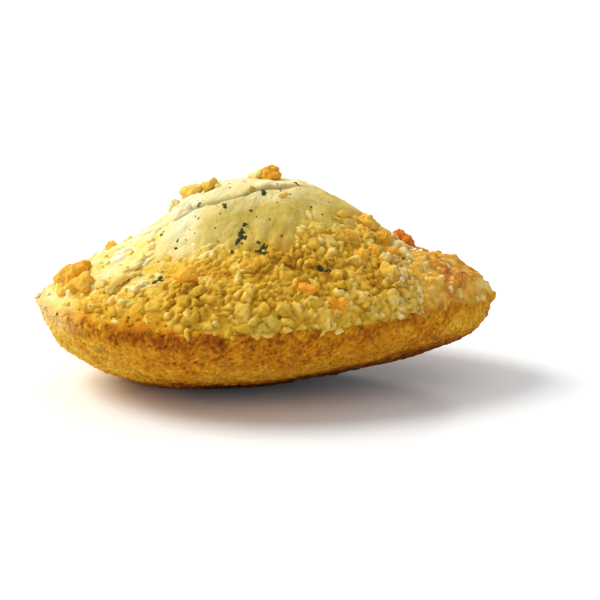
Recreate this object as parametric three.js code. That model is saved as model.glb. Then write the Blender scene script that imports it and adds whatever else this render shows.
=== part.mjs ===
// A small boat-shaped madeleine with a herb and crumb topping, as one solid.
//
// Frame: millimetres, +Z up, the long way along X with the broad end at -X and the narrow end
// at +X, standing on z = 0. The origin is under the middle of the plan outline.
//
// The form is one closed skin of rings. From below they are the flat spot that it rests on, the
// flank that the mould gave it, with its shell grooves, the rim, and the risen top: a shoulder
// inside the rim, a hump with a fold across it, and the crumbs baked on as lumps.

import * as THREE from "three";

// Driving dimensions.
const LENGTH = 80;
const SIDE_WIDTH = 24.4; // half width of the outline where it doesn't taper
const RIM_HEIGHT = 15;
const SHOULDER_RISE = 8.8; // how far the shoulder stands over the rim
const HUMP_RISE = 11; // how far the hump stands over the shoulder

// Plan outline: |sin|^POINTED draws the two ends out, TAPER narrows the +X end.
const HALF_LENGTH = LENGTH / 2;
const POINTED = 1.3;
const TAPER = 0.25;

// The flat spot that it rests on, an ellipse.
const FOOT = { x: -0.131 * LENGTH, halfLength: 0.162 * LENGTH, halfWidth: 0.075 * LENGTH };

// Flank: its height goes as 1 - (1 - r)^power, from the foot (r = 0) to the rim (r = 1). The
// power is less by TIP_FULLNESS at the narrow end, which is full right up to its tip.
const FLANK_POWER = 0.455;
const TIP_FULLNESS = 0.2;

// Grooves of the shell mould: they fan out from a point past the +X end.
const GROOVE_ORIGIN_X = 0.575 * LENGTH;
const GROOVE_ANGLE = THREE.MathUtils.degToRad(5); // from one to the next
const GROOVE_DEPTH = 0.7;

// Top: the shoulder falls as 1 - r^SHOULDER_POWER from the middle (r = 0) to the rim (r = 1).
const SHOULDER_POWER = 5.8;
const HUMP = {
  x: -0.014 * LENGTH,
  y: 0.037 * LENGTH,
  halfLength: 0.388 * LENGTH,
  halfWidth: 0.283 * LENGTH,
  flatness: 2.8, // power of the distance: how broad the crown is
  steepness: 3.7, // power of the whole: how steep the sides are
};

// The fold across the hump, where the inner batter rose through the crust. It is a shallow arc
// in plan, with a puffed lip on its -Y side, a crease along it and the crown behind.
const FOLD = {
  x: -0.1 * LENGTH,
  y: -0.045 * LENGTH,
  bend: 0.02, // per millimetre
  halfLength: 0.215 * LENGTH,
  lip: 0.7,
  lipWidth: 3.6,
  crown: 0.5,
  crownWidth: 4.0,
  crease: 0.8,
  creaseWidth: 1.1,
  step: 1.2, // width of the change from the lip to the crown
};

// Baked-on crumbs: lumps all over the top but the smooth front of the hump and the outermost rim.
const LUMPS = 170;
const LUMP_RADIUS = { least: 2, most: 3.6 };
const LUMP_HEIGHT = 0.4; // of its radius
const LUMP_REACH = 0.97; // of the way to the rim
const SMOOTH_FRONT = {
  x: -0.045 * LENGTH,
  y: -0.1 * LENGTH,
  halfLength: 0.17 * LENGTH,
  halfWidth: 0.085 * LENGTH,
};

// Rings of the skin.
const AROUND = 120;
const FOOT_RINGS = 2;
const FLANK_RINGS = 11;
const TOP_RINGS = 26;

const clamp01 = (v) => Math.min(1, Math.max(0, v));
const smooth = (v) => THREE.MathUtils.smoothstep(v, 0, 1);
const bell = (distance, width) => Math.exp(-((distance / width) ** 2));

// Point of the rim at turn t, counted from the +X tip.
function rimPoint(t) {
  const s = Math.sin(t);
  const y = SIDE_WIDTH * Math.sign(s) * Math.abs(s) ** POINTED * (1 - TAPER * Math.cos(t));
  return new THREE.Vector2(HALF_LENGTH * Math.cos(t), y);
}

// Point of the foot's edge at turn t.
function footPoint(t) {
  return new THREE.Vector2(FOOT.x + FOOT.halfLength * Math.cos(t), FOOT.halfWidth * Math.sin(t));
}

// How far a flank point is pressed in: broad ribs between narrow grooves, deepest at the broad
// end and dying out towards the narrow end, the foot and the rim.
function grooveDepth(x, y, r) {
  const turn = Math.atan2(y, GROOVE_ORIGIN_X - x) / GROOVE_ANGLE;
  const groove = Math.abs(Math.sin(Math.PI * turn)) ** 4;
  const towardsBroadEnd = smooth((HALF_LENGTH * 0.35 - x) / HALF_LENGTH);
  const awayFromEdges = smooth(r / 0.25) * smooth((1 - r) / 0.12);
  return GROOVE_DEPTH * groove * (0.2 + 0.8 * towardsBroadEnd) * awayFromEdges;
}

// Distance behind the fold's arc (+Y side positive), and how strongly the fold shows there.
function foldAt(x, y) {
  const along = (x - FOLD.x) / FOLD.halfLength;
  const behind = y - (FOLD.y + FOLD.bend * (x - FOLD.x) ** 2);
  return { behind, strength: smooth((1 - Math.abs(along)) / 0.3) };
}

// Height that the fold adds.
function foldRise(x, y) {
  const { behind, strength } = foldAt(x, y);
  const over = smooth(behind / FOLD.step + 0.5);
  const lip = FOLD.lip * bell(behind, FOLD.lipWidth) * (1 - over);
  const crown = FOLD.crown * bell(behind - FOLD.step / 2, FOLD.crownWidth) * over;
  const crease = FOLD.crease * bell(behind - FOLD.step / 4, FOLD.creaseWidth);
  return strength * (lip + crown - crease);
}

// A share from 0 to 1 that looks random: the fraction of a large sine, the same on every run.
function chance(i, stream) {
  const v = Math.sin(i * 12.9898 + stream * 78.233) * 43758.5453;
  return v - Math.floor(v);
}

// The crumbs' places and sizes: [{x, y, radius}].
function crumbLumps() {
  const lumps = [];
  for (let i = 0; i < LUMPS; i += 1) {
    const out = LUMP_REACH * Math.sqrt(chance(i, 1));
    const { x, y } = rimPoint(2 * Math.PI * chance(i, 2)).multiplyScalar(out);
    const dx = (x - SMOOTH_FRONT.x) / SMOOTH_FRONT.halfLength;
    const dy = (y - SMOOTH_FRONT.y) / SMOOTH_FRONT.halfWidth;
    const radius = THREE.MathUtils.lerp(LUMP_RADIUS.least, LUMP_RADIUS.most, chance(i, 3));
    if (Math.hypot(dx, dy) > 1) lumps.push({ x, y, radius });
  }
  return lumps;
}

const lumps = crumbLumps();

// Height that the crumbs add: the tallest lump over the point, as a round cap.
function lumpRise(x, y, r) {
  let rise = 0;
  for (const lump of lumps) {
    const d = Math.hypot(x - lump.x, y - lump.y) / lump.radius;
    if (d < 1) rise = Math.max(rise, LUMP_HEIGHT * lump.radius * (1 - d * d));
  }
  return rise * smooth((1 - r) / 0.1);
}

// Height of the top at a plan point that lies r of the way from the middle to the rim.
function topHeight(x, y, r) {
  const shoulder = SHOULDER_RISE * (1 - r ** SHOULDER_POWER);
  const away = Math.hypot((x - HUMP.x) / HUMP.halfLength, (y - HUMP.y) / HUMP.halfWidth);
  const hump = HUMP_RISE * clamp01(1 - away ** HUMP.flatness) ** HUMP.steepness;
  return RIM_HEIGHT + shoulder + hump + foldRise(x, y) + lumpRise(x, y, r);
}

// One ring of points for each step outwards over the foot, up the flank and in over the top.
function rings() {
  const made = [];
  const ring = (pointAt) => {
    made.push(Array.from({ length: AROUND }, (_, i) => pointAt((2 * Math.PI * i) / AROUND)));
  };
  for (let k = 1; k <= FOOT_RINGS; k += 1) {
    const r = k / FOOT_RINGS;
    ring((t) => {
      const foot = footPoint(t);
      return new THREE.Vector3(FOOT.x + r * (foot.x - FOOT.x), r * foot.y, 0);
    });
  }
  for (let k = 1; k <= FLANK_RINGS; k += 1) {
    const r = 1 - (1 - k / FLANK_RINGS) ** 1.8;
    ring((t) => {
      const p = footPoint(t).lerp(rimPoint(t), r);
      const power = FLANK_POWER * (1 - TIP_FULLNESS * Math.max(0, Math.cos(t)) ** 4);
      const z = RIM_HEIGHT * (1 - (1 - r) ** power);
      return new THREE.Vector3(p.x, p.y, z + grooveDepth(p.x, p.y, r));
    });
  }
  for (let k = 1; k < TOP_RINGS; k += 1) {
    const r = 1 - (k / TOP_RINGS) ** 1.1;
    ring((t) => {
      const p = rimPoint(t).multiplyScalar(r);
      return new THREE.Vector3(p.x, p.y, topHeight(p.x, p.y, r));
    });
  }
  return made;
}

// The closed skin: a fan at each pole and a band of quads between each ring and the next, with
// their faces pointing out.
function skin(ringList, bottom, top) {
  const points = [bottom, ...ringList.flat(), top];
  const faces = [];
  const at = (k, i) => 1 + k * AROUND + (i % AROUND);
  const last = ringList.length - 1;
  for (let i = 0; i < AROUND; i += 1) {
    faces.push(0, at(0, i + 1), at(0, i));
    for (let k = 0; k < last; k += 1) {
      faces.push(at(k, i), at(k, i + 1), at(k + 1, i + 1));
      faces.push(at(k, i), at(k + 1, i + 1), at(k + 1, i));
    }
    faces.push(at(last, i), at(last, i + 1), points.length - 1);
  }
  const geometry = new THREE.BufferGeometry().setFromPoints(points).setIndex(faces);
  geometry.computeVertexNormals();
  return geometry;
}

function makeCake() {
  const bottom = new THREE.Vector3(FOOT.x, 0, 0);
  const top = new THREE.Vector3(0, 0, topHeight(0, 0, 0));
  const crust = new THREE.MeshStandardMaterial({ color: 0xd2a448, roughness: 0.75, metalness: 0 });
  const mesh = new THREE.Mesh(skin(rings(), bottom, top), crust);
  mesh.name = "cake";
  return mesh;
}

const madeleine = new THREE.Group();
madeleine.add(makeCake());

export default madeleine;
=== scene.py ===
"""A small boat-shaped madeleine with a baked-on crumb and herb topping, in metres.

The sponge is one closed surface of turns and ways, pressed by the mould below and risen above. A
turn is the angle round the cake from the narrow end, which points to +X. A way goes from 0 at the
foot's middle, up the flank and over the rim, to 1 at the top's middle. Crumbs, shreds and herb
flakes are laid on it as meshes. Working sizes are in millimetres, and MM takes them to metres when
a mesh is made. Everything that looks random comes from seeds: each use of noise(), layered(),
cells(), patch(), lumps() and shaken() has one of its own, so that no two patterns are alike.
"""

import bpy
import numpy as np
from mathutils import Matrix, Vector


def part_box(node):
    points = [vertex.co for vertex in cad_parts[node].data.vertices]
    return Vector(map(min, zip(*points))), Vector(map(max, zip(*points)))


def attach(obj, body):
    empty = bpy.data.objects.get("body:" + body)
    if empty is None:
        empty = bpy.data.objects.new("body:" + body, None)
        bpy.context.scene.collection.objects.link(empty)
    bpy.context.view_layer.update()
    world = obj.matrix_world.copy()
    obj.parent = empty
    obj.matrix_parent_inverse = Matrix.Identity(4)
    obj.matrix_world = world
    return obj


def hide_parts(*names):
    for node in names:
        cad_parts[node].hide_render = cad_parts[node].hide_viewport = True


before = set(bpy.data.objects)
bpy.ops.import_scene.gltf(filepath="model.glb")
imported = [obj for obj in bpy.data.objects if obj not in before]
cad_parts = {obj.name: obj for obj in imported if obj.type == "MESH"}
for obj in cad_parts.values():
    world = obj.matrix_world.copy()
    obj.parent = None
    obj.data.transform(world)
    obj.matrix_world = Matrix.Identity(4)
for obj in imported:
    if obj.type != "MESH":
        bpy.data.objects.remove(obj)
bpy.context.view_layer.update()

MM = 0.001

# The cake's smooth form, as the solid has it, in millimetres.
low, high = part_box("cake")
LENGTH = (high.x - low.x) / MM
HALF_LENGTH = LENGTH / 2
SIDE_WIDTH = 24.4
POINTED = 1.3
TAPER = 0.25
RIM_HEIGHT = 15.0
FOOT_X, FOOT_LENGTH, FOOT_WIDTH = -0.131 * LENGTH, 0.162 * LENGTH, 0.075 * LENGTH
FLANK_POWER, TIP_FULLNESS = 0.455, 0.2
FLANK_SPREAD, TOP_SPREAD = 1.8, 0.94
GROOVE_ORIGIN_X = 0.575 * LENGTH
GROOVE_ANGLE = np.radians(5)
GROOVE_DEPTH = 0.7
GROOVE_SHARPNESS = 4
SHOULDER_RISE, SHOULDER_POWER = 8.8, 5.8
HUMP_RISE = 11.0
HUMP_X, HUMP_Y = -0.014 * LENGTH, 0.037 * LENGTH
HUMP_LENGTH, HUMP_WIDTH = 0.388 * LENGTH, 0.283 * LENGTH
HUMP_FLATNESS, HUMP_STEEPNESS = 2.8, 3.7
FOLD_X, FOLD_Y = -0.1 * LENGTH, -0.045 * LENGTH
FOLD_BEND = 0.02
FOLD_LENGTH = 0.215 * LENGTH
LIP_HEIGHT, LIP_WIDTH = 0.55, 3.4
CROWN_HEIGHT, CROWN_WIDTH = 0.4, 4.0
CREASE_DEPTH, CREASE_WIDTH = 0.8, 0.45

# How far along the way from the foot's middle (0) to the top's middle (1) the foot ends and the
# rim lies.
FOOT_WAY, RIM_WAY = 0.07, 0.45
# How much of the way the crust takes to give over to the top, and how far along it the last
# crumbs and flakes may lie.
RIM_BLEND, LAST_WAY = 0.016, 0.999

# The height in metres that the camera and the lamps face.
AIM_HEIGHT = 0.016

# What dice() multiplies by to mix the bits, and the bits that it keeps.
X_MIX, Y_MIX, Z_MIX, SEED_MIX, LAST_MIX = 374761393, 668265263, 362437, 974634777, 1274126177
KEPT_BITS, RESULT_BITS = 0xFFFFFFFF, 0xFFFFFF


# Noise ---------------------------------------------------------------------------------------


def dice(at, seed):
    """A number from 0 to 1 for each whole-number place, by mixing the bits of its three parts."""
    x, y, z = at[..., 0], at[..., 1], at[..., 2]
    h = (x * X_MIX + y * Y_MIX + z * Z_MIX + seed * SEED_MIX) & KEPT_BITS
    h = ((h ^ (h >> 13)) * LAST_MIX) & KEPT_BITS
    h = ((h ^ (h >> 15)) * Y_MIX) & KEPT_BITS
    return ((h >> 8) & RESULT_BITS) / RESULT_BITS


def noise(p, size, seed):
    """Smooth noise from -1 to 1 with features of that size in mm: a number at each corner of a
    cubic lattice, blended across the cell by 3f^2 - 2f^3."""
    q = p / size
    cell = np.floor(q).astype(np.int64)
    f = q - cell
    f = f * f * (3 - 2 * f)
    total = 0
    for corner in np.ndindex(2, 2, 2):
        share = np.prod(np.where(np.array(corner, bool), f, 1 - f), axis=-1)
        total = total + share * dice(cell + np.array(corner), seed)
    return total * 2 - 1


def layered(p, size, layers, seed):
    """Noise in layers, each of half the size and half the strength of the one before."""
    return sum(noise(p, size / 2**n, seed + n) / 2**n for n in range(layers))


def cells(p, size, seed):
    """Distance to the nearest and to the next point of a jittered lattice, in lattice steps, and
    the nearest point's own number from 0 to 1."""
    q = p / size
    home = np.floor(q).astype(np.int64)
    near = np.full(p.shape[:-1], 9.0)
    after = near.copy()
    tag = np.zeros(p.shape[:-1])
    for step in np.ndindex(3, 3, 3):
        at = home + np.array(step) - 1
        point = at + np.stack([dice(at, seed + n) for n in range(3)], axis=-1)
        away = np.linalg.norm(q - point, axis=-1)
        closer = away < near
        after = np.where(closer, near, np.minimum(after, away))
        tag = np.where(closer, dice(at, seed + 3), tag)
        near = np.where(closer, away, near)
    return near, after, tag


def smooth(v):
    """0 below 0, 1 above 1, and 3v^2 - 2v^3 between."""
    v = np.clip(v, 0, 1)
    return v * v * (3 - 2 * v)


def bell(v, middle, width):
    """1 at the middle, falling on both sides by e^-(d / width)^2 at a distance d from it."""
    return np.exp(-(((v - middle) / width) ** 2))


def patch(p, x, y, half_length, half_width, edge, seed):
    """1 inside an ellipse in plan and 0 outside it, across an edge of that width, as a share of
    the ellipse, that noise makes ragged."""
    away = np.hypot((p[..., 0] - x) / half_length, (p[..., 1] - y) / half_width)
    return smooth((1 - away + 0.24 * layered(p, 3.0, 3, seed)) / edge + 0.5)


# The sponge's form ------------------------------------------------------------------------------


def rim_line(turn):
    """Plan of the rim: an ellipse whose sine is raised to POINTED and tapers towards +X."""
    s = np.sin(turn)
    width = SIDE_WIDTH * np.sign(s) * np.abs(s) ** POINTED
    return HALF_LENGTH * np.cos(turn), width * (1 - TAPER * np.cos(turn))


def fold_line(x, y):
    """Distance behind the fold's shallow, wandering arc, and how strongly the fold shows."""
    place = np.stack([x, y, 0 * x], axis=-1)
    wander = 0.6 * noise(place, 4.0, 17) + 0.25 * noise(place, 1.5, 18)
    behind = y - (FOLD_Y + FOLD_BEND * (x - FOLD_X) ** 2) + wander
    strength = smooth((1 - np.abs(x - FOLD_X) / FOLD_LENGTH) / 0.45)
    return behind, strength * (0.9 + 0.3 * noise(place, 3.0, 21))


def fold_rise(x, y):
    """Height that the fold adds: a puffed lip in front of its line, a narrow crease along it, and
    the crown standing a little up again behind."""
    behind, strength = fold_line(x, y)
    over = smooth(behind / 0.8 + 0.5)
    lip = LIP_HEIGHT * bell(behind, 0, LIP_WIDTH) * (1 - over)
    crown = CROWN_HEIGHT * bell(behind, 0.8, CROWN_WIDTH) * over
    crease = CREASE_DEPTH * bell(behind, 0.25, CREASE_WIDTH)
    return strength * (lip + crown - crease)


def form(turn, way, folded=True):
    """Smooth point of the cake. Over the foot it goes straight out at no height. Up the flank it
    goes from the foot's ellipse to the rim, at a height of 1 - (1 - r)^power of the rim's, where
    the power is least at the narrow end, less the shell grooves. Over the top it goes in to the
    middle, at the height of a shoulder, 1 - r^SHOULDER_POWER, with a rounded hump and the fold."""
    rim_x, rim_y = rim_line(turn)
    edge_x = FOOT_X + FOOT_LENGTH * np.cos(turn)
    edge_y = FOOT_WIDTH * np.sin(turn)

    out = np.clip(way / FOOT_WAY, 0, 1)
    foot = np.stack([FOOT_X + out * (edge_x - FOOT_X), out * edge_y, 0 * out], axis=-1)

    r = 1 - (1 - np.clip((way - FOOT_WAY) / (RIM_WAY - FOOT_WAY), 0, 1)) ** FLANK_SPREAD
    x, y = edge_x + r * (rim_x - edge_x), edge_y + r * (rim_y - edge_y)
    groove = np.abs(np.sin(np.pi * np.arctan2(y, GROOVE_ORIGIN_X - x) / GROOVE_ANGLE))
    groove = groove**GROOVE_SHARPNESS
    depth = 0.2 + 0.8 * smooth((HALF_LENGTH * 0.35 - x) / HALF_LENGTH)
    depth = GROOVE_DEPTH * depth * smooth(r / 0.25) * smooth((1 - r) / 0.12)
    power = FLANK_POWER * (1 - TIP_FULLNESS * np.clip(np.cos(turn), 0, 1) ** 4)
    z = RIM_HEIGHT * (1 - (1 - r) ** power) + depth * groove
    flank = np.stack([x, y, z], axis=-1)

    r = np.clip((1 - way) / (1 - RIM_WAY), 0, 1) ** TOP_SPREAD
    x, y = r * rim_x, r * rim_y
    away = np.hypot((x - HUMP_X) / HUMP_LENGTH, (y - HUMP_Y) / HUMP_WIDTH)
    hump = HUMP_RISE * np.clip(1 - away**HUMP_FLATNESS, 0, 1) ** HUMP_STEEPNESS
    z = RIM_HEIGHT + SHOULDER_RISE * (1 - r**SHOULDER_POWER) + hump + folded * fold_rise(x, y)
    top = np.stack([x, y, z], axis=-1)

    way = way[..., None]
    return np.where(way < FOOT_WAY, foot, np.where(way < RIM_WAY, flank, top))


def unit(v):
    """Vectors brought to a length of 1, each divided by its own length."""
    return v / np.maximum(np.linalg.norm(v, axis=-1, keepdims=True), 1e-9)


def facing(turn, way, step=0.004):
    """Outward direction of the form without its fold: the cross product of a short step round it
    and one along its way."""
    inner = np.clip(way, 2 * step, 1 - 2 * step)
    around = form(turn + step, inner, False) - form(turn - step, inner, False)
    along = form(turn, inner + step, False) - form(turn, inner - step, False)
    return unit(np.cross(around, along))


def zones(p):
    """Shares of a top point: soft is 1 on the bare, risen sponge of the hump, two patches that
    overlap. Glazed is 1 on the browned, shiny narrow end, past a ragged line. Pale is 1 on the
    upper broad side, which faces the window lamp, and at least 0.6 at the broad end's tip; the
    more of it, the paler the top is painted there, as painted light."""
    front = patch(p, -5.0, -4.9, 12.6, 6.4, 0.6, 11)
    soft = np.maximum(front, patch(p, 3.0, 2.0, 13.4, 7.6, 0.5, 12))
    glazed = smooth((p[..., 0] - 22.5 + 2.5 * noise(p, 5.0, 13) + 1.5 * noise(p, 1.6, 24)) / 7)
    low_edge = 20.5 - 3 * smooth((-12 - p[..., 0]) / 10)
    pale = smooth((4 - p[..., 0]) / 22) * smooth((p[..., 2] - low_edge) / 7)
    broad_end = 0.6 * smooth((-31 - p[..., 0]) / 5) + 0.25 * smooth((-36.5 - p[..., 0]) / 2)
    pale = np.maximum(pale, broad_end)
    return soft, glazed, pale


def bedded(p, way, soft, glazed):
    """Share of crumbs at a top point: none on bare sponge and few on the glazed end, with a
    ragged start that hangs over the rim here and there."""
    ragged = 0.014 * noise(p, 3.0, 19) + 0.009 * noise(p, 1.2, 20)
    ragged = ragged + 0.014 * smooth((p[..., 0] + 16) / 12) - 0.006
    return smooth((way - RIM_WAY + ragged) / RIM_BLEND) * (1 - soft) * (1 - 0.9 * glazed)


def browning_and_shading(p, soft, glazed, pale):
    """How far the top is baked, 0 to 1, with painted light in it. It starts at 0.44, golden. It is
    much less up the broad side that the window lamp lights, as painted light, and less on the bare
    sponge, high up and at the glazed end, more on the middle of the broad side, round the foot of
    the hump and on the narrow side up to the glaze, and uneven in patches."""
    x, z = p[..., 0], p[..., 2]
    by_rim = smooth((19.5 - z) / 4)
    high_up = smooth((z - 25) / 6)
    hump_foot = bell(z, 24.5, 3.2) * smooth((x + 26) / 9) * smooth((22 - x) / 8)
    hump_foot = hump_foot * (1 + 0.4 * smooth((-2 - x) / 6))
    middle = np.exp(-(((z - 21.5) / 4) ** 2) - ((x + 14) / 8) ** 2)
    # The pale share makes it much less up the broad side that the window lamp lights: painted
    # light.
    bake = 0.44 - 0.4 * pale - 0.04 * soft - 0.12 * glazed - 0.08 * high_up + 0.15 * middle
    bake = bake + 0.015 * by_rim - 0.06 * smooth(x / 8) * (1 - glazed)
    bake = bake + 0.1 * smooth((x - 12) / 8) * (1 - glazed)
    below_hump = 0.12 * bell(x, 10.5, 3.5) - 0.05 * bell(x, 0, 6)
    bake = bake + below_hump * bell(z, 22, 2.5)
    bake = bake + glazed * (0.08 * smooth((z - 20) / 4) - 0.06 * by_rim)
    return bake + 0.09 * hump_foot + 0.09 * noise(p, 6.5, 15) + 0.08 * noise(p, 2.6, 16)


def lumps(p, size, seed, gap=0.5, least=0.35):
    """Heights from 0 to 1 of lumps of that size, and a number from 0 to 1 for each lump. A lump
    is a cell with its own height from the least to 1, rounded over, that falls away to the cracks
    around it."""
    near, after, tag = cells(p, size, seed)
    height = (least + (1 - least) * tag) * smooth((after - near) / gap) * (1 - 0.4 * near**2)
    return height, (7.31 * tag) % 1


def sponge(turn, way):
    """The sponge's real surface: the smooth form, moved along its outward direction by the relief
    of wrinkles, swells, pores and grit. It is 0.9 lower under the bed of crumbs and 0.6 lower on
    the broad end's tip, has beads and a raised crest at the narrow end, and is drawn in by up to
    0.9 under the rim at both ends. Returns a dict of points, directions and per-point shares:
      crust   1 on the flank that the mould browned, 0 on the top
      hollow  painted shade: 1 down in pores, in the lows of the grit and in the fold's crease, and
        less in a band behind the fold and a patch before the hump
      bake    how far the surface is browned, 0 to 1, with painted light and shade in it: paler
        up the lit broad side, browner low on the flank and between the glazed end's beads,
        paler on their tops
      cream   how pale and creamy the sponge is: its own paler colour, and painted light on the
        broad side and its tip, which the window lamp lights, and by the fold's lip
      greasy  1 on the beads of melted cheese that shine at the narrow end, which also get a
        painted highlight
    and soft and glazed of zones()."""
    p, n = form(turn, way), facing(turn, way)
    x, y, z = p[..., 0], p[..., 1], p[..., 2]
    ragged = 0.008 * noise(p, 2.4, 14) + 0.012 * noise(p, 1.1, 22) * smooth((x - 18) / 8)
    on_top = smooth((way - RIM_WAY + ragged) / RIM_BLEND)
    soft, glazed, pale = (share * on_top for share in zones(p))
    under_rim = smooth((z - 10.5) / 4.5) * (1 - on_top)
    behind, strength = fold_line(x, y)
    crease = on_top * strength * bell(behind, 0.3, 0.55)

    # Relief of the top, then of the flank.
    wrinkle = layered(p, 1.3, 3, 41)
    swell = layered(p, 7.0, 2, 51)
    near, _, tag = cells(p, 1.15, 61)
    pore = smooth((0.3 - near) / 0.2) * (tag > 0.6)
    grit = lumps(shaken(p, 0.9, 0.2, 105), 1.0, 65)[0] - 0.4
    coarse = lumps(shaken(p, 1.6, 0.4, 75), 1.9, 78)[0] - 0.45
    rise = (0.1 - 0.05 * soft) * wrinkle + 0.3 * swell + 0.3 * layered(p, 2.8, 2, 55)
    rise = rise + (0.12 - 0.07 * soft) * grit
    bead = lumps(shaken(p, 1.3, 0.3, 175), 1.15, 178, 0.7, 0.1)[0]
    rise = rise + (0.25 - 0.1 * soft) * coarse
    crest = smooth((x - 30) / 3) * smooth((z - 16.5) / 1.5)
    rough = 0.5 * layered(p, 1.8, 2, 71) + 0.5 * coarse + 0.65 * bead
    rise = rise + glazed * ((1 - 0.55 * crest) * rough + 0.4 * crest)
    rise = on_top * (rise - 0.9 * bedded(p, way, soft, glazed))
    flank = 0.12 * wrinkle + 0.2 * swell - 0.14 * pore + 0.32 * grit + 0.5 * under_rim * coarse
    ends = smooth((np.abs(x) - 35) / 5)
    flank = flank - 0.9 * ends * smooth((z - 4) / 5) * smooth((15 - z) / 2)
    rise = rise - 0.6 * on_top * smooth((-35 - x) / 3)
    rise = rise + (1 - on_top) * smooth(z / 1.5) * flank
    p = p + n * rise[..., None]
    p[..., 2] = np.maximum(p[..., 2], 0)

    # How far the flank and the top are browned, with stains along the rim's lip, and with painted
    # light and shade: paler towards the lit broad end, browner low by the foot, and on the glazed
    # end paler on the beads and browner between them.
    blotch = layered(p, 4.0, 3, 81)
    # Paler towards the broad end, which the window lamp lights, by the terms in -14 - x and -32 -
    # x: painted light.
    flank = 0.59 + 0.08 * blotch - 0.18 * smooth((-14 - x) / 18) - 0.1 * smooth((x - 24) / 12)
    flank = flank - 0.1 * smooth((-32 - x) / 5)
    flank = flank - 0.07 * bell(z, 6, 2.5)
    # Browner low on the flank by the foot, from the middle to the narrow end: painted shade.
    low = smooth((5.0 + 0.19 * np.clip(x, 0, 30) - z) / 3.4)
    flank = flank + 0.42 * low * smooth((x + 25) / 20)
    bake = np.where(on_top > 0.5, browning_and_shading(p, soft, glazed, pale), flank)
    lip = smooth((z - 11.5) / 3) * smooth((18 - z) / 2.5)
    stain = 0.12 * smooth((-4 - x) / 6) + 0.12 * bell(x, -24.5, 4)
    bake = bake + lip * (stain + 0.08 * layered(p, 1.6, 2, 92))
    # On the glazed end, paler on the beads' tops and browner between them: a painted highlight and
    # painted shade.
    bake = bake + glazed * (0.5 * (0.42 - bead) + 0.2 * layered(p, 2.2, 2, 95))
    ridge = smooth((x - 31) / 3) * smooth((z - 17.6) / 1.4)
    bake = bake - (0.12 * smooth((x - 31) / 4) - 0.22 * ridge) * on_top

    # Where the sponge is cream: its own paler colour, and painted light on the broad side and its
    # tip, which the window lamp lights, and by the fold's lip. And where it is dark: painted shade
    # in its hollows, in a band behind the fold and in a patch before the hump.
    low_grit = np.clip(-grit, 0, 1)
    # Cream by the fold: the sponge's own paler colour, and painted light on its lit lip.
    by_fold = smooth((behind + 4.5) / 3.5) * smooth((12 - x) / 8)
    # A patch before the hump that is painted darker and less cream: painted shade.
    shade_patch = soft * patch(p, -5.0, -9.0, 7.6, 4.2, 1.0, 25)
    # A band behind the fold that is painted darker: painted shade of the fold.
    valley = soft * strength * bell(behind, 1.2, 2.4) * smooth((-4 - x) / 5)
    by_fold = by_fold * (0.3 + 0.12 * smooth((x + 4) / 4) + 0.2 * smooth((behind - 0.8) / 1.5))
    # Cream up the broad side of the bare sponge, which the window lamp lights: painted light. Less
    # in the patch before the hump: painted shade.
    cream = soft * (0.06 + by_fold + 0.6 * smooth((-10 - x) / 4)) - 0.1 * shade_patch
    # Cream at the broad end's tip, which the window lamp lights: painted light.
    left_end = 0.22 * smooth((-30 - x) / 6) + 0.15 * smooth((-36.5 - x) / 2)
    cream = np.maximum(cream, left_end * smooth((z - 11) / 3))
    # Darker down in pores, in the lows of the grit, in the fold's crease and between the glazed
    # end's beads: painted shade.
    hollow = (1 - on_top) * (0.6 * pore + 0.8 * low_grit) + crease + 0.8 * glazed * low_grit
    return {
        "p": p,
        "n": n,
        "crust": 1 - on_top,
        "soft": soft,
        "glazed": glazed,
        "cream": cream,
        "greasy": glazed * (0.12 + 0.88 * smooth((bead - 0.35) / 0.2)) * (1 - 0.85 * ridge),
        "hollow": hollow + 0.28 * shade_patch + 0.22 * valley,
        "bake": np.clip(bake, 0, 1),
    }


def shaken(p, size, reach, seed):
    """Points moved by up to that reach in mm by noise of that size, one noise for each axis."""
    return p + reach * np.stack([noise(p, size, seed + n) for n in range(3)], axis=-1)


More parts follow.
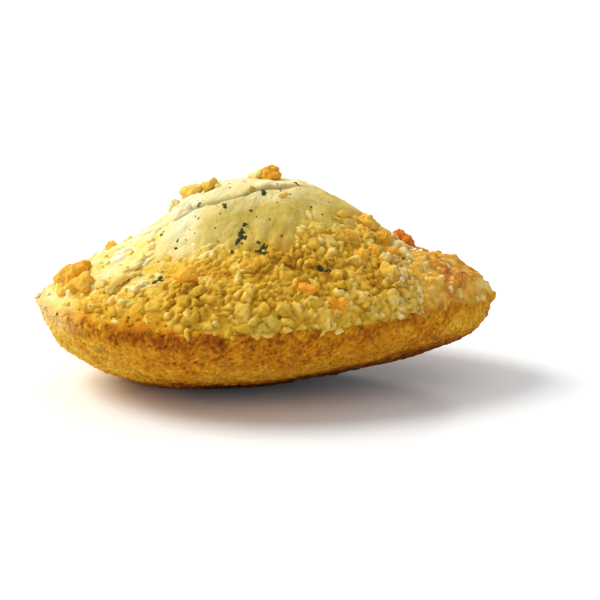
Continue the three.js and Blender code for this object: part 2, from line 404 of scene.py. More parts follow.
def crumb_bed(turn, way):
    """The bed of crumbs baked together: the smooth form raised by lumps of four sizes on shaken
    points, each lump browned to its own degree, painted darker in the cracks between lumps as
    painted shade and paler up the broad side that the window lamp lights as painted light. On the
    pale upper slope of the broad end the two largest give way to lumps drawn out along it. The bed
    is thinner towards that end. Where there are no crumbs it dives under the sponge, the lowest
    lumps first."""
    p, n = form(turn, way), facing(turn, way)
    soft, glazed, pale = zones(p)
    q = shaken(shaken(p, 2.2, 0.6, 101), 0.9, 0.3, 105)
    slope = np.array([0.87, 0.4, 0.3])
    drawn = q - 0.45 * (q @ slope)[..., None] * slope
    large, large_tone = lumps(q, 2.5, 111, 0.35, 0.1)
    small, small_tone = lumps(q, 1.6, 117, 0.4)
    long, long_tone = lumps(drawn, 2.4, 131, 0.4, 0.6)
    bit, bit_tone = lumps(q, 1.1, 121)
    speck = lumps(q, 0.65, 161)[0]
    lump = np.maximum(large, 0.75 * small)
    tone = np.where(large > 0.75 * small, large_tone, small_tone)
    lump = lump + pale * (long - lump)
    tone = tone + pale * (long_tone - tone)
    wet = smooth((p[..., 0] - 17) / 5)
    edge = 0.6 + 0.4 * smooth((way - RIM_WAY) / 0.05)
    thin = 0.7 + 0.8 * smooth((-11 - p[..., 0]) / 9)
    rise = (1.35 - 0.4 * pale) * lump + (0.4 - 0.27 * pale) * bit + (0.04 + 0.32 * wet) * speck
    rise = rise + 0.05 * layered(p, 0.8, 2, 141)
    crumbs = bedded(p, way, soft, glazed)
    thin = thin + 0.5 * smooth((-34 - p[..., 0]) / 4)
    rise = crumbs * (edge * rise - thin) - 1.1 * (1 - crumbs)
    p = p + n * rise[..., None]
    # Darker down in the cracks between lumps: painted shade.
    crack_shade = 0.45 - np.clip(0.7 * lump + 0.45 * bit + 0.15 * speck, 0, 1)
    # Painted paler up the broad side that the window lamp lights, as on the sponge's top: painted
    # light.
    bake = browning_and_shading(p, soft, glazed, pale)
    bake = bake + (1 - 0.65 * pale) * (0.16 * (tone - 0.5) + 0.1 * (bit_tone - 0.5))
    # Shine on the tops of bits and specks near the narrow end; the finish also paints a highlight
    # there.
    wet = wet * (0.25 + 0.75 * smooth((np.maximum(bit, speck) - 0.35) / 0.25))
    return {"p": p, "n": n, "hollow": crack_shade, "bake": bake, "wet": wet}


# Meshes --------------------------------------------------------------------------------------


def skin_faces(around, rings):
    """Faces of a closed skin of one pole, rings of points and another pole, all facing out."""
    i = np.arange(around)
    j = (i + 1) % around
    k = np.arange(rings - 1)[:, None] * around + 1
    quads = np.stack([k + i, k + j, k + around + j, k + around + i], axis=-1).reshape(-1, 4)
    end = 1 + (rings - 1) * around
    first = np.stack([0 * i, 1 + j, 1 + i], axis=-1)
    last = np.stack([end + i, end + j, 0 * i + end + around], axis=-1)
    return quads, np.concatenate([first, last])


def mesh_piece(name, points, quads, triangles, shares):
    """A piece of points in mm, with smooth faces and its per-point shares as attributes."""
    mesh = bpy.data.meshes.new(name)
    corners = np.concatenate([quads.ravel(), triangles.ravel()])
    sizes = np.concatenate([np.full(len(quads), 4), np.full(len(triangles), 3)])
    starts = np.concatenate([[0], np.cumsum(sizes)[:-1]])
    mesh.vertices.add(len(points))
    mesh.vertices.foreach_set("co", (points * MM).astype(np.float32).ravel())
    mesh.loops.add(len(corners))
    mesh.loops.foreach_set("vertex_index", corners.astype(np.int32))
    mesh.polygons.add(len(sizes))
    mesh.polygons.foreach_set("loop_start", starts.astype(np.int32))
    mesh.polygons.foreach_set("use_smooth", np.ones(len(sizes), bool))
    mesh.update(calc_edges=True)
    for share, values in shares.items():
        layer = mesh.attributes.new(share, "FLOAT", "POINT")
        layer.data.foreach_set("value", values.astype(np.float32).ravel())
    mesh.validate()
    piece = bpy.data.objects.new(name, mesh)
    bpy.context.scene.collection.objects.link(piece)
    return piece


def make_sponge(around=500, rings=196):
    """The sponge as a closed skin, in even turns and ways, with its shares as attributes."""
    turn = 2 * np.pi * np.arange(around) / around
    way = np.arange(1, rings + 1) / (rings + 1)
    turn, way = np.meshgrid(turn, way)
    turn = np.concatenate([[0], turn.ravel(), [0]])
    way = np.concatenate([[0], way.ravel(), [1]])
    s = sponge(turn, way)
    names = ("crust", "soft", "glazed", "cream", "greasy", "hollow", "bake")
    shares = {k: s[k] for k in names}
    return mesh_piece("sponge", s["p"], *skin_faces(around, rings), shares)


def make_bed(around=690, rings=136, under=6, overhang=0.03, growth=1.25, depth=2.5):
    """The crumb bed as a closed skin: out along a smooth underside at that depth inside the
    sponge, to a little past the rim, then in over its relief to the middle, by ways that go as
    the share of the rings to the power of growth."""
    turn = 2 * np.pi * np.arange(around) / around
    start = RIM_WAY - overhang
    way = start + (1 - start) * (np.arange(rings) / rings) ** growth
    turns, ways = np.meshgrid(turn, way)
    ways = np.append(ways.ravel(), 1.0)
    turns = np.append(turns.ravel(), 0.0)
    bed = crumb_bed(turns, ways)
    below = 1 - (1 - start) * np.arange(1, under + 1) / (under + 1)
    turns, ways = np.meshgrid(turn, below)
    turns = np.append(0.0, turns.ravel())
    ways = np.append(1.0, ways.ravel())
    inside = form(turns, ways) - depth * facing(turns, ways)
    points = np.concatenate([inside, bed["p"]])
    shares = {
        k: np.concatenate([np.zeros(len(inside)), bed[k]]) for k in ("hollow", "bake", "wet")
    }
    return mesh_piece("crumb_bed", points, *skin_faces(around, rings + under), shares)


def nugget_points(count, around, rings, boxy, rough, rng):
    """Irregular lumps about 1 mm in radius: a ball drawn out towards a rounded cube by the
    boxy-norm of its direction, turned at random, and swelled and dented by noise."""
    u = 2 * np.pi * np.arange(around) / around
    v = np.pi * (np.arange(1, rings + 1) / (rings + 1) - 0.5)
    u, v = np.meshgrid(u, v)
    ball = np.stack([np.cos(u) * np.cos(v), np.sin(u) * np.cos(v), np.sin(v)], axis=-1)
    ball = np.concatenate([[[0, 0, -1]], ball.reshape(-1, 3), [[0, 0, 1]]])
    spin = unit(rng.normal(size=(count, 3, 3)))
    first = spin[:, 0]
    second = unit(np.cross(first, spin[:, 1]))
    spin = np.stack([first, second, np.cross(first, second)], axis=1)
    way = np.einsum("vj,nij->nvi", ball, spin)
    cube = np.sum(np.abs(way) ** boxy, axis=-1) ** (-1 / boxy)
    at = ball[None] + 40 * rng.random((count, 1, 3))
    swell = 1 + rough * (noise(at, 0.75, 5) + 0.5 * noise(at, 0.36, 6) + 0.4 * noise(at, 0.2, 7))
    return ball[None] * (cube * swell)[..., None]


def lay(name, on, sizes, sink, shapes, faces, shares, rng):
    """Sets shapes on a skin, each scaled, turned flat to its face and sunk a share of its height,
    and joins them into one piece. Its share height is how far a point stands off the skin, in
    heights of its shape."""
    n = on["n"]
    side = unit(np.cross(n, rng.normal(size=n.shape)))
    axes = np.stack([side, np.cross(n, side), n], axis=1)
    local = shapes * sizes[:, None, :]
    local[..., 2] += (sizes[:, 2] * (1 - 2 * sink))[:, None]
    points = on["p"][:, None] + np.einsum("nvi,nij->nvj", local, axes)
    count, each = points.shape[:2]
    quads, triangles = faces
    step = each * np.arange(count)[:, None, None]
    shares = {k: np.broadcast_to(v[:, None], (count, each)) for k, v in shares.items()}
    shares["height"] = local[..., 2] / (2 * sizes[:, 2:3])
    flat = points.reshape(-1, 3)
    flat[:, 2] = np.maximum(flat[:, 2], 0)
    return mesh_piece(
        name, flat, (quads + step).reshape(-1, 4), (triangles + step).reshape(-1, 3), shares
    )


def scatter(count, chance, rng, ways, step=0.003):
    """Turns and ways of places spread evenly over the sponge's area: drawn evenly in both, and
    each kept by a chance that goes with the area that a short step both ways covers there."""
    turn = rng.uniform(0, 2 * np.pi, count)
    way = rng.uniform(*ways, count)
    around = form(turn + step, way) - form(turn - step, way)
    along = form(turn, way + step) - form(turn, way - step)
    area = np.linalg.norm(np.cross(around, along), axis=-1)
    kept = rng.random(count) * np.percentile(area, 98) < area * chance(turn, way)
    return turn[kept], way[kept]


def spaced(turn, way, radius, gap):
    """Which places to keep so that none is nearer another than gap times both their radii. Those
    that come first are kept."""
    p = form(turn, way)
    kept = []
    for i in range(len(p)):
        near = np.linalg.norm(p[kept] - p[i], axis=-1) < gap * (radius[kept] + radius[i])
        if not near.any():
            kept.append(i)
    return np.array(kept)


def lift(on, other, allowed=True):
    """Moves places out to the other skin wherever that lies further out along their directions
    and they are allowed to."""
    higher = np.sum((other["p"] - on["p"]) * on["n"], axis=-1) > 0
    on["p"] = np.where((higher & allowed)[:, None], other["p"], on["p"])


def crumb_chance(turn, way):
    """Where loose crumbs lie: over the top, few on the bare hump, the glazed end and the pale
    broad side."""
    soft, glazed, pale = zones(form(turn, way))
    return (1 - 0.98 * soft) * (1 - 0.98 * glazed) * (1 - 0.8 * pale)


def make_crumbs():
    """Three pieces of loose crumbs by how far they are browned: pale, golden and toasted. The
    largest are placed first, and each lies on the bed or the sponge, whichever is higher."""
    rng = np.random.default_rng(20)
    turn, way = scatter(2600, crumb_chance, rng, (RIM_WAY, LAST_WAY))
    radius = np.sort(0.3 + 0.6 * rng.random(len(turn)) ** 2.5)[::-1]
    kept = spaced(turn, way, radius, 1.2)
    turn, way, radius = turn[kept], way[kept], radius[kept]
    on = crumb_bed(turn, way)
    lift(on, sponge(turn, way))
    # A crumb's tone follows the bed under it, so it is painted paler up the lit broad side, as
    # painted light.
    tone = np.clip(on["bake"] + 0.07 + 0.05 * rng.normal(size=len(turn)), 0, 1)
    made = []
    for name, lowest, highest in (
        ("pale_crumbs", -1, 0.36),
        ("golden_crumbs", 0.36, 0.55),
        ("toasted_crumbs", 0.55, 2),
    ):
        mine = (tone >= lowest) & (tone < highest)
        own = {k: v[mine] for k, v in on.items()}
        count = int(mine.sum())
        sizes = radius[mine][:, None] * rng.uniform(0.6, 1.3, (count, 3)) * (1.1, 0.95, 0.85)
        shapes = nugget_points(count, 8, 6, 4.0, 0.65, rng)
        sink = rng.uniform(0.5, 0.8, count)
        shares = {"bake": tone[mine], "wet": own["wet"]}
        made.append(lay(name, own, sizes, sink, shapes, skin_faces(8, 6), shares, rng))
    return made


def nearest_place(x, y, turns=3601, shares=200):
    """Turn and way of a plan point on the top: the nearest to it of a grid of turns and of shares
    of the way out to the rim."""
    turn = np.linspace(0, 2 * np.pi, turns)
    r = np.linspace(0.001, 0.995, shares)[:, None]
    rim_x, rim_y = rim_line(turn)
    away = np.hypot(r * rim_x - x, r * rim_y - y)
    row, column = np.unravel_index(np.argmin(away), away.shape)
    return turn[column], 1 - (1 - RIM_WAY) * r[row, 0] ** (1 / TOP_SPREAD)


def make_big_crumbs():
    """The crumbs that stand out, one by one: plan place, radius in mm and how browned."""
    rng = np.random.default_rng(8)
    listed = np.array(
        [
            (-33.2, -3.6, 2.4, 0.52),
            (-34.8, -2.6, 1.6, 0.55),
            (-31.3, -8.2, 1.9, 0.50),
            (-34.8, -5.6, 1.4, 0.40),
            (-1.5, 4.6, 1.4, 0.12),
            (0.2, 5.0, 2.0, 0.55),
            (-12.5, 4.5, 1.9, 0.34),
            (-9.6, 3.5, 1.7, 0.42),
            (-16.0, 3.5, 1.6, 0.12),
            (23.8, 3.4, 2.2, 0.85),
            (13.7, -6.2, 1.8, 0.55),
            (17.2, 0.6, 1.6, 0.46),
            (19.6, -2.3, 2.0, 0.60),
            (16.6, -3.4, 1.5, 0.50),
            (18.1, -6.4, 1.6, 0.58),
            (21.6, -4.6, 1.5, 0.55),
            (15.8, -9.0, 1.5, 0.50),
            (-13.4, -15.9, 1.8, 0.54),
            (-10.0, -17.6, 1.6, 0.40),
            (-3.4, -14.6, 1.4, 0.52),
            (6.8, -18.2, 1.7, 0.60),
            (11.3, -19.0, 1.7, 0.60),
            (14.5, -13.5, 1.6, 0.46),
            (20.5, -10.5, 1.5, 0.46),
            (-27.5, 12.5, 1.7, 0.50),
            (-22.0, 16.0, 1.6, 0.42),
            (-15.5, 17.5, 1.8, 0.54),
            (-8.5, 16.0, 1.5, 0.40),
            (-2.0, 18.8, 1.7, 0.50),
            (5.5, 16.0, 1.5, 0.55),
            (11.5, 14.5, 1.7, 0.58),
            (16.5, 12.0, 1.5, 0.62),
            (21.5, 9.5, 1.4, 0.50),
        ]
    )
    places = [nearest_place(x, y) for x, y in listed[:, :2]]
    turn, way = np.array(places).T
    on = sponge(turn, way)
    count = len(listed)
    sizes = listed[:, 2:3] * rng.uniform(0.85, 1.1, (count, 3)) * (1.0, 0.9, 0.85)
    shapes = nugget_points(count, 36, 23, 3.6, 0.36, rng)
    sink = rng.uniform(0.42, 0.54, count)
    shares = {"bake": listed[:, 3]}
    return lay("big_crumbs", on, sizes, sink, shapes, skin_faces(36, 23), shares, rng)


def make_shreds():
    """Baked shreds on the broad end's slope and on the back: a rounded strand carried along a
    bent path just under the form's face, its radius falling to nothing at both ends as
    (1 - s^6)^(1/2) for s from -1 to 1, with lumps along it. Each is listed by its ends in plan
    and its radius."""
    rng = np.random.default_rng(5)
    ends = [
        ((-27.0, -14.0), (-21.2, -11.2), 0.65),
        ((-25.5, -11.3), (-21.0, -8.4), 0.6),
        ((-24.0, -9.0), (-21.0, -6.0), 0.6),
        ((-23.0, -15.5), (-20.0, -14.4), 0.55),
        ((-26.0, 13.0), (-20.5, 14.5), 0.7),
        ((-21.5, 14.0), (-16.0, 13.0), 0.75),
        ((-5.0, 15.0), (0.0, 16.5), 0.7),
        ((8.0, 12.5), (12.5, 10.0), 0.7),
    ]
    along, around = 22, 12
    s = np.sin(np.linspace(-0.5 * np.pi, 0.5 * np.pi, along + 2)[1:-1])
    a = 2 * np.pi * np.arange(around) / around
    skins, tones = [], []
    for start, end, radius in ends:
        t0, w0 = nearest_place(*start)
        t1, w1 = nearest_place(*end)
        share = 0.5 + 0.5 * s
        turn = t0 + share * (t1 - t0)
        way = w0 + share * (w1 - w0)
        bend = np.sin(share * np.pi) * rng.uniform(-0.9, 0.9)
        p, n = form(turn, way), facing(turn, way)
        forward = unit(p[-1] - p[0])
        side = unit(np.cross(n, forward))
        centre = p + n * (0.15 * radius - 0.55) + side * bend[:, None]
        thick = radius * np.sqrt(1 - np.abs(s) ** 6)
        wall = side[:, None] * np.cos(a)[:, None] + 0.8 * n[:, None] * np.sin(a)[:, None]
        ring = centre[:, None] + wall * thick[:, None, None]
        ring = ring + wall * (0.6 * layered(ring, 1.1, 3, 151))[..., None]
        tips = [centre[0] - 0.1 * forward, centre[-1] + 0.1 * forward]
        skins.append(np.concatenate([tips[:1], ring.reshape(-1, 3), tips[1:]]))
        tones.append(np.full(len(skins[-1]), 0.22 + 0.16 * rng.random()))
    quads, triangles = skin_faces(around, along)
    step = (along * around + 2) * np.arange(len(ends))[:, None, None]
    points, tones = np.concatenate(skins), np.concatenate(tones)
    height = np.full(len(points), 0.6)
    faces = (quads + step).reshape(-1, 4), (triangles + step).reshape(-1, 3)
    return mesh_piece("shreds", points, *faces, {"bake": tones, "height": height})


def make_herbs():
    """Herb flakes: thin, ragged, lying on the sponge or the bed and pressed into it. Those that
    stand out are listed by plan place and half length, and the rest are scattered."""
    rng = np.random.default_rng(31)

    def chance(turn, way):
        """Most on bare sponge, some on the crust and few among the crumbs."""
        s = sponge(turn, way)
        return 0.1 + 0.5 * s["soft"] + 0.16 * s["crust"]

    turn, way = scatter(4200, chance, rng, (0.12, LAST_WAY))
    leaves = np.array(
        [
            (-5.1, -10.6, 0.75),
            (-4.7, -9.9, 0.9),
            (-4.4, -9.2, 0.85),
            (-4.0, -8.4, 0.6),
            (-3.7, -10.4, 0.5),
            (-1.6, -11.0, 0.6),
            (-1.1, -11.6, 0.85),
            (-0.7, -12.3, 0.8),
            (-1.8, -12.1, 0.5),
            (-0.2, -11.3, 0.4),
            (8.6, -13.9, 0.75),
            (9.3, -14.1, 0.5),
            (10.4, -13.7, 0.6),
            (11.6, -13.2, 0.45),
            (-7.0, -5.6, 0.5),
            (-7.3, -5.2, 0.35),
            (-0.6, -3.2, 0.55),
            (-18.1, -4.2, 0.55),
            (-17.9, -3.5, 0.4),
            (-15.5, -8.2, 0.5),
            (-15.3, -7.4, 0.35),
            (-18.9, -14.9, 0.6),
            (-18.0, -14.2, 0.7),
            (-17.2, -13.6, 0.4),
            (4.9, 1.9, 0.5),
            (5.3, 1.0, 0.4),
            (7.6, -3.6, 0.35),
            (2.2, -10.0, 0.35),
            (-6.1, -11.8, 0.4),
            (-9.0, 9.6, 0.8),
            (-8.4, 10.3, 0.7),
            (3.6, 11.4, 0.75),
            (4.3, 10.8, 0.6),
            (-19.5, 12.0, 0.7),
            (-18.8, 12.6, 0.5),
            (13.0, 5.2, 0.6),
            (-25.5, 3.0, 0.5),
            (-1.0, 7.6, 0.5),
        ]
    )
    placed = np.array([nearest_place(x, y) for x, y in leaves[:, :2]])
    turn, way = np.concatenate([placed[:, 0], turn]), np.concatenate([placed[:, 1], way])
    on = sponge(turn, way)
    lift(on, crumb_bed(turn, way), way > RIM_WAY + 0.01)
    count = len(turn)
    length = 0.08 + 0.24 * rng.random(count) ** 2.2
    length[: len(leaves)] = leaves[:, 2]
    sizes = length[:, None] * np.stack(
        [np.ones(count), rng.uniform(0.4, 0.8, count), np.full(count, 0.12)], axis=-1
    )
    sizes[:, 2] = np.maximum(sizes[:, 2], 0.05)
    shapes = nugget_points(count, 10, 3, 2.0, 0.9, rng)
    tone = 0.6 * rng.random(count)
    tone[: len(leaves)] = 0.4 + 0.25 * rng.random(len(leaves))
    sink = np.full(count, 0.3)
    return lay("herb_flakes", on, sizes, sink, shapes, skin_faces(10, 3), {"tone": tone}, rng)


# Finishes -------------------------------------------------------------------------------------


def linear(r, g, b):
    """A colour given as display values from 0 to 255, as light, by the usual display curve."""
    c = np.array([r, g, b]) / 255
    return (*np.where(c <= 0.04045, c / 12.92, ((c + 0.055) / 1.055) ** 2.4), 1.0)


class Flow:
    """What comes out of a node. Arithmetic on it adds Math nodes, with numbers on either side."""

    def __init__(self, finish, socket):
        self.finish = finish
        self.socket = socket

    def math(self, operation, *values):
        """A Math node of that operation on the values."""
        return self.finish.node("ShaderNodeMath", {"operation": operation}, *values)

    def __add__(self, other):
        return self.math("ADD", self, other)

    def __sub__(self, other):
        return self.math("SUBTRACT", self, other)

    def __rsub__(self, other):
        return self.math("SUBTRACT", other, self)

    def __mul__(self, other):
        return self.math("MULTIPLY", self, other)

    __radd__ = __add__
    __rmul__ = __mul__

    def limit(self, lowest=0.0, highest=1.0):
        """Kept from going below the lowest or above the highest."""
        return self.math("MINIMUM", self.math("MAXIMUM", self, lowest), highest)

    def step(self, start, end):
        """0 before start and 1 after end, smoothly."""
        settings = {"interpolation_type": "SMOOTHSTEP"}
        return self.finish.node("ShaderNodeMapRange", settings, self, start, end)


class Finish:
    """A material whose nodes are made by node()."""

    def __init__(self, name):
        self.material = bpy.data.materials.new(name)
        self.material.use_nodes = True
        self.tree = self.material.node_tree
        self.shader = self.tree.nodes["Principled BSDF"]
        self.place = self.node("ShaderNodeTexCoord", {}, output="Object")

    def node(self, kind, settings, *values, inputs=None, output=0):
        """Adds a node, sets its settings, then gives its sockets values or links: values go to
        the first sockets in order, and inputs to those that it names or numbers."""
        node = self.tree.nodes.new(kind)
        for key, value in settings.items():
            if key == "stops":
                self.set_stops(node.color_ramp, value)
            else:
                setattr(node, key, value)
        for key, value in [*enumerate(values), *(inputs or {}).items()]:
            self.feed(node.inputs[key], value)
        return Flow(self, node.outputs[output])

    def set_stops(self, ramp, stops):
        """Gives a ramp its stops, each a position from 0 to 1 and a colour."""
        while len(ramp.elements) < len(stops):
            ramp.elements.new(1.0)
        for element, (position, colour) in zip(ramp.elements, stops):
            element.position = position
            element.color = colour

    def feed(self, socket, value):
        """Links a Flow to a socket, or sets the socket to a plain value."""
        if isinstance(value, Flow):
            self.tree.links.new(value.socket, socket)
        else:
            socket.default_value = value

    def share(self, name):
        """A per-point share of the piece, by its attribute's name."""
        return self.node("ShaderNodeAttribute", {"attribute_name": name}, output="Fac")

    def ramp(self, value, stops):
        """The colour of the stops at that value, blended evenly between them."""
        return self.node("ShaderNodeValToRGB", {"stops": stops}, value)

    def blend(self, share, a, b):
        """Colour a where the share is 0 and b where it is 1."""
        settings = {"data_type": "RGBA", "clamp_factor": True}
        return self.node("ShaderNodeMix", settings, inputs={0: share, 6: a, 7: b}, output=2)

    def speckle(self, size, detail=2.0, rough=0.5):
        """Noise from 0 to 1 with features of about that size in mm."""
        inputs = {"Vector": self.place, "Scale": 1 / (size * MM), "Detail": detail}
        return self.node("ShaderNodeTexNoise", {}, inputs=inputs | {"Roughness": rough})

    def pores(self, size):
        """Distance to the nearest of scattered points about that far apart in mm, in sizes."""
        inputs = {"Vector": self.place, "Scale": 1 / (size * MM)}
        return self.node("ShaderNodeTexVoronoi", {}, inputs=inputs, output="Distance")

    def bump(self, height, depth):
        """The direction of a surface dented by heights from 0 to 1 that stand for depth in mm."""
        return self.node("ShaderNodeBump", {}, inputs={"Distance": depth * MM, "Height": height})

    def done(self, **sockets):
        """Feeds the shader's sockets, named with _ for a space, and gives the material."""
        for key, value in sockets.items():
            self.feed(self.shader.inputs[key.replace("_", " ")], value)
        return self.material


# Colours by how far the crust, the crumbs and the big crumbs are browned, from 0 to 1.
CRUST = (
    (0.0, linear(248, 234, 168)),
    (0.2, linear(240, 214, 112)),
    (0.42, linear(230, 182, 56)),
    (0.6, linear(210, 139, 15)),
    (0.8, linear(162, 84, 5)),
    (1.0, linear(84, 42, 3)),
)
CRUMB = (
    (0.0, linear(251, 242, 204)),
    (0.2, linear(245, 222, 136)),
    (0.42, linear(232, 187, 62)),
    (0.6, linear(209, 158, 32)),
    (0.8, linear(172, 116, 14)),
    (1.0, linear(104, 60, 6)),
)
CHEESE = (
    (0.0, linear(252, 234, 160)),
    (0.3, linear(246, 208, 98)),
    (0.5, linear(240, 178, 50)),
    (0.66, linear(232, 148, 24)),
    (0.85, linear(216, 116, 24)),
    (1.0, linear(150, 72, 10)),
)


def sponge_finish():
    """Bare sponge, glazed end and moulded crust in one skin: a ramp by how far it is baked, with
    the painted light and shade that this share carries, made uneven by grain and patches, then
    dull yellow and cream where the sponge is bare, more cream where painted light falls, amber on
    the glaze, a painted highlight on its beads, olive in spots on the crust and in fine specks,
    and olive in hollows as painted shade."""
    f = Finish("baked_sponge")
    crust, soft, cream = f.share("crust"), f.share("soft"), f.share("cream")
    greasy = f.share("greasy")
    glazed, hollow, bake = f.share("glazed"), f.share("hollow"), f.share("bake")
    grain = f.speckle(0.7, 3.0, 0.6)
    patches = f.speckle(2.2, 2.0)
    clouds = f.speckle(5.0, 2.0)
    specks = (1 - f.pores(0.75).step(0.09, 0.2)) * f.speckle(1.5).step(0.5, 0.6) * soft
    f.place = f.node(
        "ShaderNodeVectorMath", {"operation": "MULTIPLY"}, f.place, (1.0, 0.6, 0.6)
    )
    moulded = f.speckle(0.6, 3.0, 0.6)
    pores = f.pores(0.6).step(0.1, 0.42)
    bake = bake + (grain - 0.5) * 0.12 + (moulded - 0.5) * 0.4 * crust
    bake = bake + (patches - 0.5) * 0.34
    # The last term makes it browner down in hollows: painted shade.
    bake = bake + (1 - pores) * 0.08 * crust + hollow * (0.2 + 0.15 * crust)
    colour = f.ramp(bake.limit(), CRUST)
    colour = f.blend(0.6 * soft, colour, linear(212, 186, 92))
    # Cream by the share: the sponge's own paler colour, and painted light on the lit broad side,
    # its tip and the fold's lip.
    cream = (cream + 0.8 * soft * (clouds - 0.5)).limit()
    colour = f.blend(cream, colour, linear(244, 236, 192))
    colour = f.blend(0.3 * glazed * (1 - crust), colour, linear(228, 158, 84))
    # A painted highlight, pale cream, on the glazed end's beads.
    colour = f.blend((1.3 * greasy - 0.6).limit(0.0, 0.7), colour, linear(255, 230, 190))
    green = 0.4 * f.speckle(2.4, 3.0).step(0.56, 0.72) * crust
    colour = f.blend(green, colour, linear(118, 100, 22))
    # Dark olive in fine herb specks, and in hollows off the crust and the glaze as painted shade.
    dark = (0.6 * specks + 0.65 * hollow * (1 - crust) * (1 - glazed)).limit()
    colour = f.blend(dark, colour, linear(112, 98, 34))
    height = (0.5 * grain + crust * (moulded + 0.4 * pores - 0.5 * grain)) + 1.4 * glazed * patches
    return f.done(
        Base_Color=colour,
        Roughness=(0.8 - 0.1 * crust + 0.1 * (grain - 0.5)).limit(),
        Coat_Weight=greasy,
        Coat_Roughness=0.12,
        Specular_IOR_Level=0.1,
        Subsurface_Weight=0.2,
        Subsurface_Radius=(1.0, 0.55, 0.15),
        Subsurface_Scale=0.8 * MM,
        Normal=f.bump(height, 0.45),
    )


def crumb_finish(name, stops, tip_shading=0.0, coarse=0.15):
    """Crumbs, baked together or loose, browner and more amber down in the cracks between them as
    painted shade, paler at their tips and browner at their feet as painted light and shade, in
    patches olive from the herbs, and shiny with grease here and there near the narrow end, where
    they also get a painted highlight."""
    f = Finish(name)
    grain = f.speckle(0.8, 2.0, 0.55)
    bake = f.share("bake") + 0.3 * (f.speckle(2.4, 2.0) - 0.5) + 0.14 * (grain - 0.5)
    # Browner down in the cracks, and by height paler tips over browner feet: painted shade and
    # light.
    bake = bake + 0.5 * f.share("hollow") + tip_shading * f.share("height")
    wet = f.share("wet")
    colour = f.ramp(bake.limit(), stops)
    olive = 0.3 * f.speckle(3.6, 3.0).step(0.5, 0.66)
    colour = f.blend(olive, colour, linear(164, 136, 38))
    # A painted highlight, pale cream, on the shining tops near the narrow end.
    colour = f.blend((1.1 * wet - 0.6).limit(0.0, 0.45), colour, linear(252, 228, 184))
    return f.done(
        Base_Color=colour,
        Roughness=(0.6 + 0.3 * (grain - 0.5)).limit(),
        Coat_Weight=wet,
        Coat_Roughness=0.12,
        Specular_IOR_Level=0.15,
        Subsurface_Weight=0.28,
        Subsurface_Radius=(1.0, 0.6, 0.2),
        Subsurface_Scale=1.0 * MM,
        Normal=f.bump(grain, coarse),
    )


def herb_finish():
    """Dark green leaf, nearly black where it has scorched."""
    f = Finish("dried_herb")
    scorch = (f.share("tone") * 0.8 + 0.4 * (f.speckle(0.4) - 0.5)).limit()
    stops = ((0.0, linear(88, 96, 30)), (0.5, linear(52, 58, 22)), (1.0, linear(26, 26, 14)))
    return f.done(
        Base_Color=f.ramp(scorch, stops),
        Roughness=(0.6 + 0.2 * f.speckle(0.3)).limit(),
        Specular_IOR_Level=0.2,
        Normal=f.bump(f.speckle(0.3), 0.08),
    )


def floor_finish():
    """A matt white board that is a hair greyer in wide patches."""
    f = Finish("white_board")
    shade = f.speckle(40.0)
    colour = f.blend(shade, linear(252, 252, 252), linear(249, 249, 250))
    return f.done(Base_Color=colour, Roughness=0.6, Specular_IOR_Level=0.2)


# The cake, the floor, the light and the camera ------------------------------------------------


def dress(piece, material, stands_for=None):
    """Gives a piece its material, body and slot, and hides the solid that it stands for."""
    piece.data.materials.append(material)
    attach(piece, "root")
    if stands_for:
        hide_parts(stands_for)


def make_floor(half=3000.0, around=64, rings=8, gap=0.02):
    """A flat disc whose rings go out evenly, a hair under the foot."""
    turn = 2 * np.pi * np.arange(around) / around
    turn, out = np.meshgrid(turn, half * np.arange(1, rings + 1) / rings)
    points = np.stack([out * np.cos(turn), out * np.sin(turn), 0 * out - gap], axis=-1)
    points = np.concatenate([[[0, 0, -gap]], points.reshape(-1, 3)])
    quads, triangles = skin_faces(around, rings)
    floor = mesh_piece("floor", points, quads[:, ::-1], triangles[:around, ::-1], {})
    floor.data.materials.append(floor_finish())


def make_lamp(name, towards, distance, size, power, colour):
    """A square soft lamp that stands towards the direction given from the cake's middle, at that
    distance in metres, and faces it."""
    light = bpy.data.lights.new(name, "AREA")
    light.size = size
    light.energy = power
    light.color = colour
    lamp = bpy.data.objects.new(name, light)
    back = unit(np.array(towards, float))
    lamp.location = back * distance + np.array([0, 0, AIM_HEIGHT])
    lamp.rotation_euler = turned_to(back)
    bpy.context.scene.collection.objects.link(lamp)


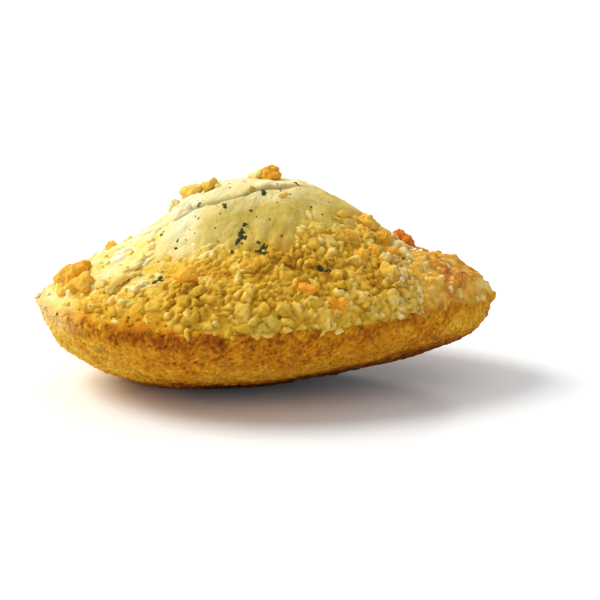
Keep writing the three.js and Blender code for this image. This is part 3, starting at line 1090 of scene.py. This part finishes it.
def turned_to(back):
    """Turn of a camera or lamp whose back faces that way, with its top up."""
    return (np.arccos(back[2]), 0.0, np.arctan2(back[0], -back[1]))


def make_camera(turn=1.68, rise=16.26, distance=0.345, lens=120.0, shift=(0.056, -0.018)):
    """A long lens in front of the cake, turned a little round it and raised, in degrees, at that
    distance in metres from its middle."""
    camera = bpy.data.objects.new("camera", bpy.data.cameras.new("camera"))
    a, e = np.radians(turn), np.radians(rise)
    back = np.array([-np.sin(a) * np.cos(e), -np.cos(a) * np.cos(e), np.sin(e)])
    camera.location = back * distance + np.array([0, 0, AIM_HEIGHT])
    camera.rotation_euler = turned_to(back)
    camera.data.lens = lens
    camera.data.shift_x, camera.data.shift_y = shift
    camera.data.clip_start = 0.01
    bpy.context.scene.collection.objects.link(camera)
    bpy.context.scene.camera = camera


def make_sky(strength, colour=(0.95, 0.98, 1.0)):
    """Even light from all round, of that colour and strength."""
    world = bpy.data.worlds.new("studio")
    world.use_nodes = True
    background = world.node_tree.nodes["Background"]
    background.inputs["Color"].default_value = (*colour, 1.0)
    background.inputs["Strength"].default_value = strength
    bpy.context.scene.world = world


make_camera()
bpy.context.scene.view_settings.view_transform = "Standard"
make_sky(strength=0.59)
make_lamp(
    "window", (-0.8, 0.18, 0.9), distance=1.5, size=0.8, power=20.5, colour=(1.0, 0.98, 0.935)
)
make_lamp(
    "back_lamp", (0.35, 0.75, 0.45), distance=1.3, size=0.2, power=2.5, colour=(1.0, 0.98, 0.95)
)
make_floor()

dress(make_sponge(), sponge_finish(), "cake")
dress(make_bed(), crumb_finish("crumb_crust", CRUMB))
for crumbs, finish_name in zip(make_crumbs(), ("pale_crumb", "golden_crumb", "toasted_crumb")):
    dress(crumbs, crumb_finish(finish_name, CRUMB, tip_shading=-0.08))
dress(make_big_crumbs(), crumb_finish("big_crumb", CHEESE, tip_shading=-0.05, coarse=0.5))
dress(make_shreds(), crumb_finish("shred", CRUMB, tip_shading=-0.1))
dress(make_herbs(), herb_finish())
